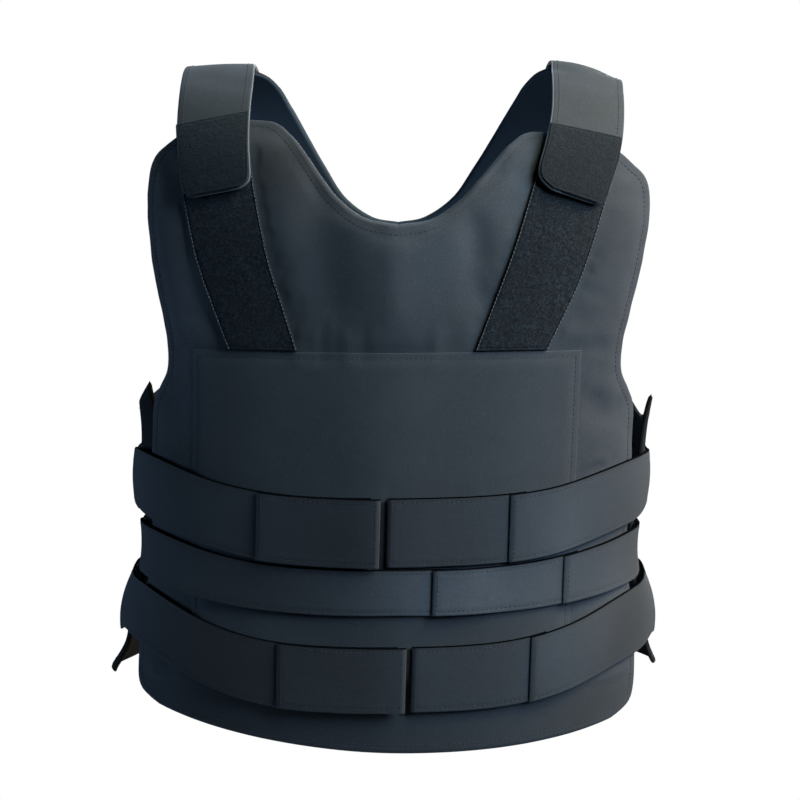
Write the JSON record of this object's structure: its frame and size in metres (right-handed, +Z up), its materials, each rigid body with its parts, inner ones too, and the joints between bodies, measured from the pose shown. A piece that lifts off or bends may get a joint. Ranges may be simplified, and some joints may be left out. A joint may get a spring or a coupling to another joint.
{
  "type": "stab vest",
  "caption": "Padded protective vest: front and back panels, straps over the shoulders that fasten to strips on the chest, and girdling bands with pull tabs.",
  "frame": {"origin": "where the vest sits on the shoulders: on the shoulder ridge, midway between the two straps", "axes": "+Z up, the front faces -Y, the wearer's left is +X"},
  "size_m": [0.4456, 0.2632, 0.5252],
  "materials": {
    "woven_nylon": "matte bluish black plain-woven nylon",
    "nylon_band": "matte bluish black woven band",
    "nylon_strap": "matte charcoal woven nylon with a piped hem",
    "brushed_loop": "black brushed loop pile, no gloss"
  },
  "bodies": {
    "root": {"front_panel": "woven_nylon", "back_panel": "woven_nylon", "front_overlay": "woven_nylon", "chest_strip_right": "brushed_loop", "chest_strip_left": "brushed_loop", "shoulder_strap_right": "nylon_strap", "shoulder_strap_left": "nylon_strap", "strap_patch_right": "brushed_loop", "strap_patch_left": "brushed_loop", "upper_band": "nylon_band", "middle_band": "nylon_band", "lower_band": "nylon_band", "upper_tab_right": "nylon_band", "upper_tab_left": "nylon_band", "middle_tab": "nylon_band", "lower_tab_right": "nylon_band", "lower_tab_left": "nylon_band"}
  },
  "joints": []
}
